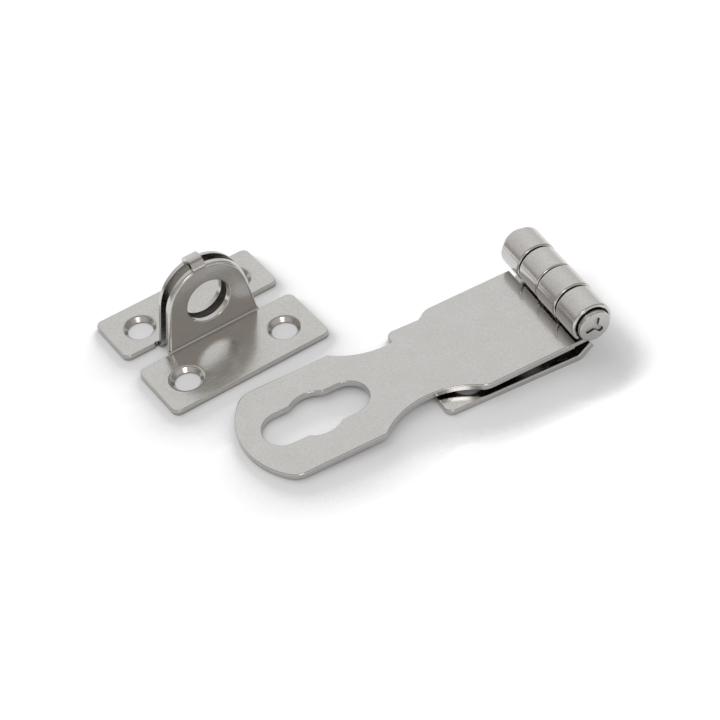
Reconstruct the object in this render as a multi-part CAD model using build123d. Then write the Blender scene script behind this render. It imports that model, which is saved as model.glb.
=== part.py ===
from build123d import *
from math import acos, asin, atan2, cos, degrees, hypot, radians, sin, sqrt
import os

# A padlock hasp pressed from stainless sheet: a hinged strap with a slot, the leaf that carries it, the
# pin through both, and the separate staple that comes up through the slot and takes the padlock.
# +Z is up from the surface that it is screwed to, the pin lies along Y and the strap reaches towards -X.
# The origin is on that surface, at the middle of the leaf's four screw holes. All sizes are millimetres.

# Sheet, and how its edges are left by the press
SHEET = 1.5
EDGE_ROUND = 0.35

# Pin and barrel
PIN_DIAMETER = 7.4
PIN_CLEARANCE = 0.05
AXIS_HEIGHT = 9.5
AXIS_X = 21.5
KNUCKLE_WIDTH = 7.8
KNUCKLE_GAP = 0.35
KNUCKLE_RIM = 0.5
STRAP_CURL_END = 215.0
LEAF_CURL_END = 218.0
LEAF_CURL_PLAY = 0.15

# Upset ends of the pin in their counterbored knuckles, with the blunt lobed mark of the staking punch
HEAD_DIAMETER = 8.2
HEAD_PROUD = 1.4
HEAD_ROUND = 0.35
HEAD_SEAT = 0.1
MOUTH_CLEARANCE = 0.4
MOUTH_DEPTH = 1.2
STAKE_ARM = 2.6
STAKE_WIDTH = 1.4
STAKE_DEPTH = 0.35
STAKE_TURN = 75.0

# Strap, measured from the pin's axis along the sheet
STRAP_WIDTH = 30.0
STRAP_LENGTH = 83.4
TIP_RADIUS = 20.0
TIP_BLEND = 5.0
WAIST_WIDTH = 19.8
WAIST_RADIUS = 19.0
WAIST_MIDDLE = 41.2
SHOULDER_BLEND = 4.0
NECK_BLEND = 0.8
NOTCH_CLEARANCE = 0.85

# Slot of the strap: a long slot with a round lobe over its middle
SLOT_WIDTH = 10.4
SLOT_LENGTH = 26.7
SLOT_MIDDLE = 64.75
LOBE_DIAMETER = 13.5
LOBE_BLEND = 0.9

# Fixed leaf
LEAF_WIDTH = 31.0
LEAF_LENGTH = 38.5
LEAF_CORNER = 2.0
LEAF_RISE = 38.0
LEAF_BEND_INSIDE = 0.5
WEB_CLEARANCE = 0.3
LEAF_SCREWS_X = 17.0
LEAF_SCREWS_Y = 18.0

# Countersunk screw holes of the leaf and the staple
SCREW_HOLE = 6.2
SINK_DEPTH = 1.1
SINK_ROUND = 0.9

# Staple: its base lies flat and its two ears stand side by side, a little behind the middle of the base
BASE_LENGTH = 43.2
BASE_WIDTH = 38.8
BASE_CORNER = 1.8
STAPLE_SCREWS_X = 27.1
STAPLE_SCREWS_Y = 22.3
EAR_GAP = 2.4
EAR_FOOT = 25.0
EAR_RADIUS = 10.8
EAR_CENTRE = 11.25
EAR_SHIFT = -0.1
EARS_BACK = 1.2
EAR_ROUND = 0.75
FOLD_INSIDE = 0.5
SHACKLE_HOLE = 11.5
BRIDGE_WIDTH = 3.4
BRIDGE_SHIFT = -0.9
BRIDGE_TOP = 24.0
BRIDGE_BEND_INSIDE = 1.0
RELIEF_RADIUS = 0.5
STAPLE_X = -51.1
STAPLE_Y = 39.9
STAPLE_TURN = 6.77

# Sizes that follow from those above
CURL_INNER = PIN_DIAMETER / 2 + PIN_CLEARANCE
CURL_OUTER = CURL_INNER + SHEET
LEAF_CURL_INNER = CURL_INNER + LEAF_CURL_PLAY
LEAF_CURL_OUTER = LEAF_CURL_INNER + SHEET
KNUCKLE_PITCH = KNUCKLE_WIDTH + KNUCKLE_GAP
BARREL_FRONT = -STRAP_WIDTH / 2
BARREL_BACK = BARREL_FRONT + 3 * KNUCKLE_PITCH + KNUCKLE_WIDTH
NOTCH_END = sqrt((LEAF_CURL_OUTER + NOTCH_CLEARANCE) ** 2 - CURL_INNER ** 2)
EAR_OUTSIDE = EAR_GAP / 2 + SHEET
FOLD_TOP = SHEET + FOLD_INSIDE

# The strap rests with its tip on the mounting surface, so it slopes down a little from the barrel.
REST_TILT = degrees(
    asin(AXIS_HEIGHT / hypot(STRAP_LENGTH, CURL_OUTER)) - atan2(CURL_OUTER, STRAP_LENGTH)
)


def knuckle_start(place):
    """Front face of a knuckle; the places count from the front, and the strap has the even ones."""
    return BARREL_FRONT + place * KNUCKLE_PITCH


def sheet_section(surface_line, side=Side.LEFT):
    """The section of a bent sheet, from the line of one of its surfaces."""
    return make_face(offset(Wire(surface_line.edges()), SHEET, side=side, closed=True))


def along_y(section, front, width):
    """A section drawn from the front, as a solid that runs back from its front face."""
    return Pos(0, front, 0) * extrude(Plane.XZ * section, width, dir=(0, 1, 0))


def ring_sector(outer_radius, inner_radius, start, end):
    """Section of a sheet bent round the origin, between two angles."""
    outside = CenterArc((0, 0), outer_radius, start, end - start)
    inside = CenterArc((0, 0), inner_radius, start, end - start)
    return make_face(outside + Line(outside @ 1, inside @ 1) + inside + Line(inside @ 0, outside @ 0))


def rounded_knuckle(section, place, open_face=None):
    """One knuckle with its outer rims rounded, and a counterbore where it holds a head of the pin."""
    knuckle = along_y(section, knuckle_start(place), KNUCKLE_WIDTH)
    circles = knuckle.edges().filter_by(GeomType.CIRCLE)
    rims = circles.filter_by(lambda edge: edge.radius > LEAF_CURL_INNER + SHEET / 2)
    knuckle = fillet(rims, KNUCKLE_RIM)
    if open_face is not None:
        mouth = Cylinder(HEAD_DIAMETER / 2 + MOUTH_CLEARANCE, 2 * MOUTH_DEPTH).rotate(Axis.X, 90)
        knuckle -= Pos(0, open_face, 0) * mouth
    return knuckle


def screw_holes(length, width):
    """Cutters for four countersunk holes, punched and coined from the top of a sheet that lies on Z = 0."""
    radius = SCREW_HOLE / 2
    drill = Cylinder(radius, 3 * SHEET)
    sink = Pos(0, 0, SHEET - SINK_DEPTH / 2) * Cone(radius, radius + SINK_DEPTH, SINK_DEPTH)
    hole = drill + sink
    return [place * hole for place in GridLocations(length, width, 2, 2)]


def round_sinks(plate):
    """Rounds the rim of every countersink."""
    circles = plate.edges().filter_by(GeomType.CIRCLE)
    rims = circles.filter_by(lambda edge: abs(edge.radius - SCREW_HOLE / 2 - SINK_DEPTH) < SHEET / 10)
    return fillet(rims, SINK_ROUND)


def strap_blank():
    """Outline of the strap in plan: square body, waist, and a head with a round end."""
    half = STRAP_WIDTH / 2
    tip_centre = STRAP_LENGTH - TIP_RADIUS
    body_length = tip_centre - NOTCH_END
    body = Pos(-NOTCH_END - body_length / 2, 0) * Rectangle(body_length, STRAP_WIDTH)
    head = Pos(-tip_centre, 0) * Circle(TIP_RADIUS)
    head &= Pos(-tip_centre - TIP_RADIUS / 2, 0) * Rectangle(TIP_RADIUS, STRAP_WIDTH)
    outline = body + head
    waist_offset = WAIST_WIDTH / 2 + WAIST_RADIUS
    for side in (-1, 1):
        outline -= Pos(-WAIST_MIDDLE, side * waist_offset) * Circle(WAIST_RADIUS)
    waist_reach = sqrt(WAIST_RADIUS ** 2 - (waist_offset - half) ** 2)
    corners = outline.vertices().filter_by(lambda vertex: abs(abs(vertex.Y) - half) < SHEET / 10)
    shoulder = -WAIST_MIDDLE + waist_reach
    neck = -WAIST_MIDDLE - waist_reach
    tip = -tip_centre - sqrt(TIP_RADIUS ** 2 - half ** 2)
    for place, radius in ((shoulder, SHOULDER_BLEND), (neck, NECK_BLEND), (tip, TIP_BLEND)):
        near = corners.filter_by(lambda vertex: abs(vertex.X - place) < SHEET / 10)
        outline = fillet(outline.vertices().filter_by(lambda vertex: is_near(vertex, near)), radius)
    return outline


def is_near(vertex, others):
    """Whether a vertex is at the place of one of the others."""
    return any((vertex.center() - other.center()).length < SHEET / 100 for other in others)


def slot():
    """Outline of the strap's slot, with the corners between its ends and its lobe rounded."""
    ends = SlotOverall(SLOT_LENGTH, SLOT_WIDTH)
    lobe = Circle(LOBE_DIAMETER / 2)
    corner_x = sqrt((LOBE_DIAMETER / 2) ** 2 - (SLOT_WIDTH / 2) ** 2)
    outline = ends + lobe
    corners = outline.vertices().filter_by(lambda vertex: abs(abs(vertex.X) - corner_x) < SHEET / 10)
    return Pos(-SLOT_MIDDLE, 0) * fillet(corners, LOBE_BLEND)


def make_strap():
    """The hinged leaf: slotted plate with two knuckles curled up and over from its hinge end."""
    plate = extrude(strap_blank() - slot(), amount=SHEET)
    plate = Pos(0, 0, -CURL_OUTER) * plate
    top = plate.faces().sort_by(Axis.Z)[-1]
    hinge_end = top.edges().sort_by(Axis.X)[-1]
    plate = fillet([edge for edge in top.edges() if edge != hinge_end], EDGE_ROUND)
    flat = sheet_section(Line((-NOTCH_END - SHEET, -CURL_OUTER), (0, -CURL_OUTER)))
    section = flat + ring_sector(CURL_OUTER, CURL_INNER, -90, STRAP_CURL_END)
    front_knuckle = rounded_knuckle(section, 0, open_face=BARREL_FRONT)
    inner_knuckle = rounded_knuckle(section, 2)
    strap = plate + front_knuckle + inner_knuckle
    strap = strap.rotate(Axis.Y, -REST_TILT)
    return Pos(AXIS_X, 0, AXIS_HEIGHT) * strap


def make_fixed_leaf():
    """The screwed leaf: it bends up under the barrel, and two knuckles go on from the riser's edge."""
    rise = radians(LEAF_RISE)
    run = Vector(cos(rise), sin(rise))
    outward = Vector(sin(rise), -cos(rise))
    curl_start = outward * LEAF_CURL_OUTER
    bend = curl_start - run * ((curl_start.Y + AXIS_HEIGHT) / sin(rise))

    # The riser ends just under the strap, where its upper corner clears the strap at rest.
    strap_underside = -CURL_OUTER / cos(radians(REST_TILT)) - WEB_CLEARANCE
    upper_start = outward * LEAF_CURL_INNER
    web_end = curl_start - run * ((upper_start.Y - strap_underside) / sin(rise))
    bend_radius = LEAF_BEND_INSIDE + SHEET
    web_line = FilletPolyline((-LEAF_LENGTH, -AXIS_HEIGHT), bend, web_end, radius=bend_radius)
    web = along_y(sheet_section(web_line), -LEAF_WIDTH / 2, LEAF_WIDTH)
    far_corners = web.edges().filter_by(Axis.Z).group_by(Axis.X)[0]
    web = fillet(far_corners, LEAF_CORNER)
    far_top = web.edges().filter_by(Axis.Y).group_by(Axis.X)[0].sort_by(Axis.Z)[-1]
    web = fillet(far_top, EDGE_ROUND)
    for hole in screw_holes(LEAF_SCREWS_X, LEAF_SCREWS_Y):
        web -= Pos(-AXIS_X, 0, -AXIS_HEIGHT) * hole

    riser = sheet_section(Line(web_end - run * SHEET, curl_start))
    section = riser + ring_sector(LEAF_CURL_OUTER, LEAF_CURL_INNER, LEAF_RISE - 90, LEAF_CURL_END)
    inner_knuckle = rounded_knuckle(section, 1)
    back_knuckle = rounded_knuckle(section, 3, open_face=BARREL_BACK)
    leaf = web + inner_knuckle + back_knuckle
    return Pos(AXIS_X, 0, AXIS_HEIGHT) * leaf


def make_hinge_pin():
    """Turned pin with upset heads, each seated in its knuckle, and staked at the front."""
    middle = (BARREL_FRONT + BARREL_BACK) / 2
    half_length = (BARREL_BACK - BARREL_FRONT) / 2 - MOUTH_DEPTH + HEAD_SEAT
    head_height = MOUTH_DEPTH - HEAD_SEAT + HEAD_PROUD
    head = Pos(0, 0, head_height / 2) * Cylinder(HEAD_DIAMETER / 2, head_height)
    outer_rim = head.edges().filter_by(GeomType.CIRCLE).sort_by(Axis.Z)[-1]
    head = Pos(0, 0, half_length) * fillet(outer_rim, HEAD_ROUND)
    back_head = head.rotate(Axis.X, 180)
    face = half_length + head_height
    lobe = Pos((STAKE_ARM - STAKE_WIDTH / 2) / 2, 0) * SlotOverall(STAKE_ARM + STAKE_WIDTH / 2, STAKE_WIDTH)
    for place in PolarLocations(0, 3, start_angle=STAKE_TURN):
        head -= Pos(0, 0, face - STAKE_DEPTH) * extrude(place * lobe, amount=STAKE_DEPTH)
    pin = Cylinder(PIN_DIAMETER / 2, 2 * half_length) + head + back_head
    pin = pin.rotate(Axis.X, 90)
    return Pos(AXIS_X, middle, AXIS_HEIGHT) * pin


def ear_outline():
    """One ear from the side: a round crown over straight sides that spread towards the bend at its foot."""
    foot_x = EAR_FOOT / 2
    drop = EAR_CENTRE - FOLD_TOP
    touch = acos(EAR_RADIUS / hypot(foot_x, drop)) - atan2(drop, foot_x)
    start = degrees(touch)
    crown = CenterArc((0, EAR_CENTRE), EAR_RADIUS, start, 180 - 2 * start)
    sides = Polyline(crown @ 1, (-foot_x, FOLD_TOP), (foot_x, FOLD_TOP), crown @ 0)
    return make_face(crown + sides)


def make_ear():
    """An ear with its rolled-over outer edge and its shackle hole, as a solid for the +Y side."""
    ear = along_y(ear_outline(), EAR_GAP / 2, SHEET)
    outer_face = ear.faces().sort_by(Axis.Y)[-1]
    foot = outer_face.edges().sort_by(Axis.Z)[0]
    ear = fillet([edge for edge in outer_face.edges() if edge != foot], EAR_ROUND)
    ear -= Pos(0, EAR_OUTSIDE, EAR_CENTRE) * Cylinder(SHACKLE_HOLE / 2, 3 * SHEET).rotate(Axis.X, 90)
    outer_face = ear.faces().filter_by(Axis.Y).sort_by(Axis.Y)[-1]
    return fillet(outer_face.edges().filter_by(GeomType.CIRCLE).sort_by(SortBy.RADIUS)[0], EDGE_ROUND)


def make_flange(shorter):
    """A flange with its screw holes, notched at both ends of the bend, for the +Y side of the ears."""
    width = BASE_WIDTH / 2 - shorter - EAR_OUTSIDE
    flange = Pos(0, EAR_OUTSIDE + width / 2, SHEET / 2) * Box(BASE_LENGTH, width, SHEET)
    flange = fillet(flange.edges().filter_by(Axis.Z), BASE_CORNER)
    flange = fillet(flange.faces().sort_by(Axis.Z)[-1].edges(), EDGE_ROUND)
    flange -= Pos(EAR_SHIFT, EAR_OUTSIDE, 0) * Box(EAR_FOOT, 2 * FOLD_INSIDE, 3 * SHEET)
    for side in (-1, 1):
        notch = Pos(EAR_SHIFT + side * (EAR_FOOT / 2 + RELIEF_RADIUS), EAR_OUTSIDE, 0)
        flange -= notch * Cylinder(RELIEF_RADIUS, 3 * SHEET)
    for hole in screw_holes(STAPLE_SCREWS_X, STAPLE_SCREWS_Y):
        flange -= Pos(0, -shorter, 0) * hole
    return round_sinks(flange)


def make_staple():
    """One folded sheet: two screwed flanges, two ears, and the narrow bridge that joins their tops."""
    fold = ring_sector(FOLD_INSIDE + SHEET, FOLD_INSIDE, 180, 270)
    fold = extrude(Plane.YZ * Pos(EAR_OUTSIDE + FOLD_INSIDE, FOLD_TOP) * fold, EAR_FOOT / 2, both=True)
    ear = Pos(EAR_SHIFT, 0, 0) * (fold + make_ear())
    back = make_flange(EARS_BACK) + ear
    front = mirror(make_flange(-EARS_BACK) + ear, Plane.XZ)

    # The bridge starts in the middle of the rim over the shackle hole, clear of the hole itself.
    bridge_foot = EAR_CENTRE + (EAR_RADIUS + SHACKLE_HOLE / 2) / 2
    bridge_line = FilletPolyline(
        (EAR_OUTSIDE, bridge_foot),
        (EAR_OUTSIDE, BRIDGE_TOP),
        (-EAR_OUTSIDE, BRIDGE_TOP),
        (-EAR_OUTSIDE, bridge_foot),
        radius=BRIDGE_BEND_INSIDE + SHEET,
    )
    bridge = extrude(Plane.YZ * sheet_section(bridge_line), amount=BRIDGE_WIDTH / 2, both=True)
    bridge = Pos(EAR_SHIFT + BRIDGE_SHIFT, 0, 0) * bridge
    staple = Pos(0, EARS_BACK, 0) * (back + front + bridge)
    return Pos(STAPLE_X, STAPLE_Y, 0) * staple.rotate(Axis.Z, STAPLE_TURN)


os.makedirs("parts", exist_ok=True)
export_step(make_strap(), "parts/strap.step")
export_step(make_fixed_leaf(), "parts/fixed_leaf.step")
export_step(make_hinge_pin(), "parts/hinge_pin.step")
export_step(make_staple(), "parts/staple.step")
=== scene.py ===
from math import pi, radians

import bmesh
import bpy
from mathutils import Matrix, Vector

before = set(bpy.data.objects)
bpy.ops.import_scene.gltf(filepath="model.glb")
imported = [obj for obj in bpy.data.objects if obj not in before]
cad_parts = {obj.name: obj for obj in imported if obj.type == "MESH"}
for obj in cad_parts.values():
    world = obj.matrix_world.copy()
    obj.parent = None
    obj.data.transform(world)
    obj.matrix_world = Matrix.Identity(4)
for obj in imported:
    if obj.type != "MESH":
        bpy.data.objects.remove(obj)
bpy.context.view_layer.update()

# The fixed leaf.
# A pressing of cold-rolled austenitic stainless sheet, bent up at the hinge and curled into two knuckles.
# It was tumbled with the other pressings, which rounds the sheared edges and leaves a soft, clouded polish.
MM = 0.001
LEAF_BRIGHT = "#CCCAC8"
LEAF_DULL = "#C0BEBB"
LEAF_START = 31.0
PRESSED_GLOSS = (0.13, 0.23)
# Painted shade: the tone darkens near other steel, between the knuckles and in the gap under the strap.
PRESSED_CREVICE = 2.5
PRESSED_PAINTED_SHADE = (0.05, 0.6)


def linear(hex_colour):
    """An sRGB hex colour as linear red, green, blue and alpha."""
    channels = [int(hex_colour[place:place + 2], 16) / 255 for place in (1, 3, 5)]
    curve = [c / 12.92 if c <= 0.04045 else ((c + 0.055) / 1.055) ** 2.4 for c in channels]
    return (*curve, 1.0)


def add_node(tree, kind, settings=(), links=()):
    """Adds a shader node with its socket values and properties, and links it to the outputs given."""
    node = tree.nodes.new(kind)
    for name, value in dict(settings).items():
        if isinstance(name, int) or name in node.inputs:
            node.inputs[name].default_value = value
        else:
            setattr(node, name, value)
    for socket, output in dict(links).items():
        tree.links.new(output, node.inputs[socket])
    return node


def tumbled_steel(name, bright, dull, start, gloss_range, crevice_mm, painted_shade_limits):
    """Tumbled stainless steel: a pale, faintly warm grey that mirrors its surroundings softly.

    The pattern starts at its own place on each piece. The tone carries painted shade: within crevice_mm of a
    spot some share of the surroundings is open, and below the first of the two shade limits the tone is
    darkest, above the second full.
    """
    # The real grain and scratches are a few hundredths of a millimetre, and are drawn coarser to show.
    cloud_mm = 5.0
    grain_mm = 0.45
    grain_limits = (0.25, 0.75)
    grain_shades = (0.90, 1.08)
    scratch_length_mm = 3.0
    scratch_width_mm = 0.12
    scratch_limits = (0.3, 0.7)
    scratch_angle = radians(12)
    wave_mm = 2.6
    wave_height_mm = 0.012
    peel_mm = 0.5
    peel_height_mm = 0.002
    darkest_painted_shade = 0.12
    crevice_samples = 8

    material = bpy.data.materials.new(name)
    material.use_nodes = True
    tree = material.node_tree
    tree.nodes.clear()
    place = add_node(tree, "ShaderNodeTexCoord")
    in_mm = add_node(
        tree, "ShaderNodeMapping",
        {"Location": (start, start, start), "Scale": (1 / MM, 1 / MM, 1 / MM)},
        {"Vector": place.outputs["Object"]},
    ).outputs[0]

    # Tone: slow clouds, and a fine grain over them.
    clouds = add_node(
        tree, "ShaderNodeTexNoise", {"Scale": 1 / cloud_mm, "Detail": 4.0, "Roughness": 0.6},
        {"Vector": in_mm},
    )
    clouded = add_node(
        tree, "ShaderNodeMix", {"data_type": "RGBA", 6: linear(dull), 7: linear(bright)},
        {0: clouds.outputs["Fac"]},
    )
    grain = add_node(
        tree, "ShaderNodeTexNoise", {"Scale": 1 / grain_mm, "Detail": 2.0, "Roughness": 0.7},
        {"Vector": in_mm},
    )
    grain_shade = add_node(
        tree, "ShaderNodeMapRange",
        {
            "From Min": grain_limits[0], "From Max": grain_limits[1],
            "To Min": grain_shades[0], "To Max": grain_shades[1],
        },
        {"Value": grain.outputs["Fac"]},
    )
    grained = add_node(
        tree, "ShaderNodeVectorMath", {"operation": "SCALE"},
        {0: clouded.outputs[2], "Scale": grain_shade.outputs[0]},
    )

    # Painted shade: the tone darkens in crevices and wherever other steel lies close, where shade falls.
    openness = add_node(
        tree, "ShaderNodeAmbientOcclusion", {"samples": crevice_samples, "Distance": crevice_mm * MM},
    )
    painted_crevice_shade = add_node(
        tree, "ShaderNodeMapRange",
        {"From Min": painted_shade_limits[0], "From Max": painted_shade_limits[1], "To Min": darkest_painted_shade, "To Max": 1.0},
        {"Value": openness.outputs["AO"]},
    )
    tone = add_node(
        tree, "ShaderNodeVectorMath", {"operation": "SCALE"},
        {0: grained.outputs[0], "Scale": painted_crevice_shade.outputs[0]},
    )

    # Gloss: hair scratches that lie across the sheet.
    across = add_node(
        tree, "ShaderNodeMapping",
        {"Rotation": (0, 0, scratch_angle), "Scale": (scratch_width_mm / scratch_length_mm, 1, 1)},
        {"Vector": in_mm},
    )
    scratches = add_node(
        tree, "ShaderNodeTexNoise", {"Scale": 1 / scratch_width_mm, "Detail": 2.0},
        {"Vector": across.outputs[0]},
    )
    gloss = add_node(
        tree, "ShaderNodeMapRange",
        {
            "From Min": scratch_limits[0], "From Max": scratch_limits[1],
            "To Min": gloss_range[0], "To Max": gloss_range[1],
        },
        {"Value": scratches.outputs["Fac"]},
    )

    # Relief: soft waves from the tumbling, and a faint orange peel.
    waves = add_node(tree, "ShaderNodeTexNoise", {"Scale": 1 / wave_mm, "Detail": 1.0}, {"Vector": in_mm})
    waved = add_node(
        tree, "ShaderNodeBump", {"Strength": 1.0, "Distance": wave_height_mm * MM},
        {"Height": waves.outputs["Fac"]},
    )
    peel = add_node(tree, "ShaderNodeTexNoise", {"Scale": 1 / peel_mm, "Detail": 3.0}, {"Vector": in_mm})
    relief = add_node(
        tree, "ShaderNodeBump", {"Strength": 1.0, "Distance": peel_height_mm * MM},
        {"Height": peel.outputs["Fac"], "Normal": waved.outputs[0]},
    )
    steel = add_node(
        tree, "ShaderNodeBsdfPrincipled", {"Metallic": 1.0},
        {"Base Color": tone.outputs[0], "Roughness": gloss.outputs[0], "Normal": relief.outputs[0]},
    )
    add_node(tree, "ShaderNodeOutputMaterial", links={"Surface": steel.outputs[0]})
    return material


def finish_piece(node_name, material):
    """Gives one of the object's solids its finish."""
    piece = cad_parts[node_name]
    piece.data.materials.clear()
    piece.data.materials.append(material)


leaf_steel = tumbled_steel(
    "tumbled_steel_leaf", LEAF_BRIGHT, LEAF_DULL, LEAF_START,
    PRESSED_GLOSS, PRESSED_CREVICE, PRESSED_PAINTED_SHADE,
)
finish_piece("fixed_leaf", leaf_steel)

# The strap.
# The hinged leaf, of the same sheet. It is blanked with its slot and waist, and curled at one end into the
# other two knuckles, which turn on the pin between the leaf's.
STRAP_BRIGHT = "#CDCBC9"
STRAP_DULL = "#C3C1BE"
STRAP_START = 0.0

strap_steel = tumbled_steel(
    "tumbled_steel_strap", STRAP_BRIGHT, STRAP_DULL, STRAP_START,
    PRESSED_GLOSS, PRESSED_CREVICE, PRESSED_PAINTED_SHADE,
)
finish_piece("strap", strap_steel)

# The hinge pin.
# Drawn stainless rod through the four knuckles, upset at both ends in the press and staked at the front.
# Its heads are duller than the sheet, and sit in the counterbored mouths of the end knuckles.
PIN_BRIGHT = "#C8C6C3"
PIN_DULL = "#B2B0AC"
PIN_START = 57.0
PIN_GLOSS = (0.2, 0.32)
# Painted shade darkens the stake mark and the ring round the heads.
PIN_CREVICE = 0.9
PIN_PAINTED_SHADE = (0.5, 0.99)

pin_steel = tumbled_steel(
    "upset_steel_pin", PIN_BRIGHT, PIN_DULL, PIN_START,
    PIN_GLOSS, PIN_CREVICE, PIN_PAINTED_SHADE,
)
finish_piece("hinge_pin", pin_steel)

# The staple.
# One blank of the same sheet, with two flanges for the screws, folded up into two ears that a narrow arch
# joins at the top. The padlock's shackle goes through the hole in both ears.
STAPLE_BRIGHT = "#CCCAC7"
STAPLE_DULL = "#BFBDB9"
STAPLE_START = 83.0
STAPLE_GLOSS = (0.15, 0.26)
# Painted shade darkens the gap between the ears, the folds and the holes.
STAPLE_CREVICE = 2.0
STAPLE_PAINTED_SHADE = (0.15, 0.78)

staple_steel = tumbled_steel(
    "tumbled_steel_staple", STAPLE_BRIGHT, STAPLE_DULL, STAPLE_START,
    STAPLE_GLOSS, STAPLE_CREVICE, STAPLE_PAINTED_SHADE,
)
finish_piece("staple", staple_steel)

# The paper.
# The hasp lies on a wide sheet of matt white paper. A glow makes it as white as the page round the picture;
# it is dimmed on the side of the hasp away from the light and goes out where steel covers the paper, which
# paints a soft shadow and the shade under the steel.
PAPER_WIDTH = 6.0
PAPER_GAP = 0.02 * MM
PAPER_COLOUR = "#B8B9BB"
PAPER_GLOW = 0.62
SHADOW_GLOW = 0.23
SHADOW_REACH = 15 * MM
SHADOW_LEAN = (0.15, 0.97, 0.12)
SHADOW_LIMITS = (0.88, 0.985)
SHADOW_SAMPLES = 32
COVER_REACH = 6 * MM
COVER_LIMITS = (0.1, 0.4)
COVER_SAMPLES = 16

sheet_shape = bmesh.new()
bmesh.ops.create_grid(sheet_shape, x_segments=1, y_segments=1, size=PAPER_WIDTH / 2)
bmesh.ops.translate(sheet_shape, verts=sheet_shape.verts, vec=(0, 0, -PAPER_GAP))
paper_mesh = bpy.data.meshes.new("paper")
sheet_shape.to_mesh(paper_mesh)
sheet_shape.free()
paper = bpy.data.objects.new("paper", paper_mesh)
bpy.context.scene.collection.objects.link(paper)

matt_paper = bpy.data.materials.new("matt_white_paper")
matt_paper.use_nodes = True
fibres = matt_paper.node_tree
fibres.nodes.clear()
ray = add_node(fibres, "ShaderNodeLightPath")
by_eye_or_gloss = add_node(
    fibres, "ShaderNodeMath", {"operation": "MAXIMUM"},
    {0: ray.outputs["Is Camera Ray"], 1: ray.outputs["Is Glossy Ray"]},
)
by_any = add_node(
    fibres, "ShaderNodeMath", {"operation": "MAXIMUM"},
    {0: by_eye_or_gloss.outputs[0], 1: ray.outputs["Is Transmission Ray"]},
)

# The painted soft shadow: the glow dims by how far the paper stands open towards the light, and goes out
# where steel lies close over it.
lean = add_node(fibres, "ShaderNodeCombineXYZ", dict(zip("XYZ", SHADOW_LEAN)))
lit_side = add_node(
    fibres, "ShaderNodeAmbientOcclusion", {"samples": SHADOW_SAMPLES, "Distance": SHADOW_REACH},
    {"Normal": lean.outputs[0]},
)
overhead = add_node(
    fibres, "ShaderNodeAmbientOcclusion", {"samples": COVER_SAMPLES, "Distance": COVER_REACH},
)
painted_shadow_glow = add_node(
    fibres, "ShaderNodeMapRange",
    {"From Min": COVER_LIMITS[0], "From Max": COVER_LIMITS[1], "To Min": 0.0, "To Max": SHADOW_GLOW},
    {"Value": overhead.outputs["AO"]},
)
glow_level = add_node(
    fibres, "ShaderNodeMapRange",
    {"From Min": SHADOW_LIMITS[0], "From Max": SHADOW_LIMITS[1], "To Max": PAPER_GLOW},
    {"Value": lit_side.outputs["AO"], "To Min": painted_shadow_glow.outputs[0]},
)
seen_glow = add_node(
    fibres, "ShaderNodeMath", {"operation": "MULTIPLY"}, {0: glow_level.outputs[0], 1: by_any.outputs[0]},
)
glow = add_node(
    fibres, "ShaderNodeEmission", {"Color": (1, 1, 1, 1)}, {"Strength": seen_glow.outputs[0]},
)
chalk = add_node(fibres, "ShaderNodeBsdfDiffuse", {"Color": linear(PAPER_COLOUR)})
page = add_node(fibres, "ShaderNodeAddShader", links={0: chalk.outputs[0], 1: glow.outputs[0]})
add_node(fibres, "ShaderNodeOutputMaterial", links={"Surface": page.outputs[0]})
paper.data.materials.append(matt_paper)

# The light tent.
# White cloth, brightest behind the hasp, dimmest just in front of overhead, and of middling light on the
# camera's side. Each stop is a place on the way to the brightest side, and the light there.
BRIGHTEST_SIDE = (0.20, 0.85, 0.48)
CLOTH = (
    (0.0, (0.620, 0.590, 0.565, 1)),
    (0.3, (0.240, 0.227, 0.218, 1)),
    (0.46, (0.430, 0.412, 0.400, 1)),
    (0.58, (0.730, 0.718, 0.705, 1)),
    (0.84, (0.850, 0.840, 0.830, 1)),
    (0.95, (0.960, 0.960, 0.960, 1)),
)

tent = bpy.data.worlds.new("light_tent")
bpy.context.scene.world = tent
tent.use_nodes = True
cloth = tent.node_tree
cloth.nodes.clear()
direction = add_node(cloth, "ShaderNodeTexCoord")
towards_bright = add_node(
    cloth, "ShaderNodeVectorMath", {"operation": "DOT_PRODUCT", 1: BRIGHTEST_SIDE},
    {0: direction.outputs["Generated"]},
)
walls = add_node(cloth, "ShaderNodeValToRGB", links={"Fac": towards_bright.outputs["Value"]})
stops = walls.color_ramp.elements
stops[0].position, stops[0].color = CLOTH[0]
stops[1].position, stops[1].color = CLOTH[-1]
for position, colour in CLOTH[1:-1]:
    stops.new(position).color = colour
ray = add_node(cloth, "ShaderNodeLightPath")
page_white = add_node(cloth, "ShaderNodeBackground", {"Color": (1, 1, 1, 1), "Strength": 1.0})
lit_cloth = add_node(cloth, "ShaderNodeBackground", {"Strength": 1.0}, {"Color": walls.outputs["Color"]})
either = add_node(
    cloth, "ShaderNodeMixShader",
    links={0: ray.outputs["Is Camera Ray"], 1: lit_cloth.outputs[0], 2: page_white.outputs[0]},
)
add_node(cloth, "ShaderNodeOutputWorld", links={"Surface": either.outputs[0]})

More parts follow.
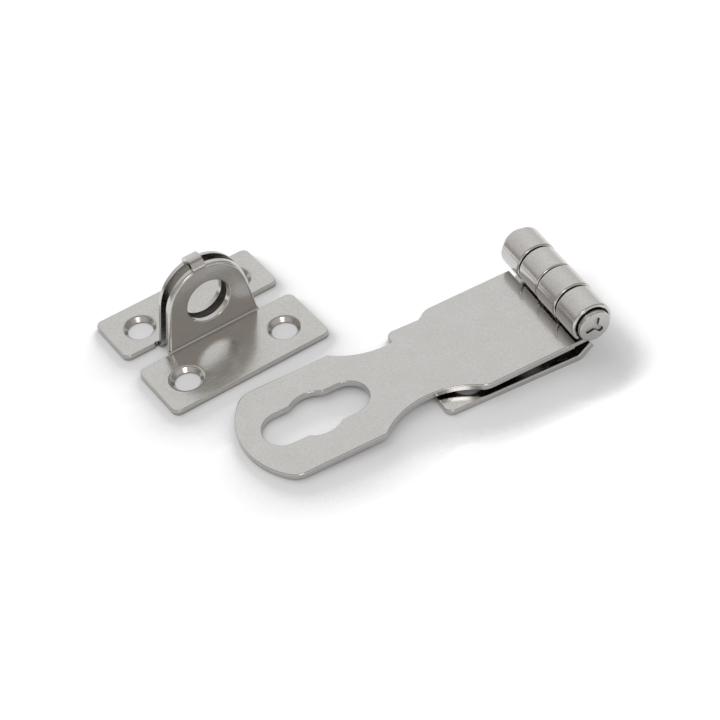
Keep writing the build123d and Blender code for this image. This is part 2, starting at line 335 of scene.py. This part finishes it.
# The lamps.
# A wide softbox behind and overhead lays the shadow in front of the hasp, and isn't mirrored in the steel.
# A small one just behind the camera gives the glints on the edges that face it.
SKY_LAMP_SIZE = 0.9
SKY_LAMP_POWER = 3.0
SKY_LAMP_PLACE = Vector((-0.15, 0.50, 0.80))
EYE_LAMP_SIZE = 0.20
EYE_LAMP_POWER = 0.4
EYE_LAMP_PLACE = Vector((-0.17, -0.43, 0.42))


def hang_lamp(name, size, power, place):
    """A square softbox that faces the hasp."""
    softbox = bpy.data.lights.new(name, "AREA")
    softbox.shape = "SQUARE"
    softbox.size = size
    softbox.energy = power
    lamp = bpy.data.objects.new(name, softbox)
    lamp.location = place
    lamp.rotation_euler = (-place).to_track_quat("-Z", "Y").to_euler()
    bpy.context.scene.collection.objects.link(lamp)
    return lamp


sky_lamp = hang_lamp("sky_lamp", SKY_LAMP_SIZE, SKY_LAMP_POWER, SKY_LAMP_PLACE)
sky_lamp.visible_glossy = False
hang_lamp("eye_lamp", EYE_LAMP_SIZE, EYE_LAMP_POWER, EYE_LAMP_PLACE)

# The camera.
# A long lens that looks down on the hasp from the front left, tipped a little to one side. Its focal length
# was solved in pixels of the square picture, and is turned into millimetres on the sensor here.
CAMERA_PLACE = Vector((-162.23, -313.82, 342.28)) * MM
CAMERA_AZIMUTH = radians(-22.76)
CAMERA_ELEVATION = radians(44.08)
CAMERA_ROLL = radians(-6.82)
SENSOR_WIDTH = 36.0
FOCAL_PIXELS = 2096.56
PICTURE_PIXELS = 720
NEAREST_SEEN = 0.01

lens = bpy.data.cameras.new("camera")
lens.sensor_width = SENSOR_WIDTH
lens.lens = SENSOR_WIDTH * FOCAL_PIXELS / PICTURE_PIXELS
lens.clip_start = NEAREST_SEEN
camera = bpy.data.objects.new("camera", lens)
level_turn = Matrix.Rotation(CAMERA_AZIMUTH, 4, "Z") @ Matrix.Rotation(pi / 2 - CAMERA_ELEVATION, 4, "X")
camera.rotation_euler = (level_turn @ Matrix.Rotation(CAMERA_ROLL, 4, "Z")).to_euler()
camera.location = CAMERA_PLACE
bpy.context.scene.collection.objects.link(camera)
bpy.context.scene.camera = camera
bpy.context.scene.view_settings.view_transform = "Standard"
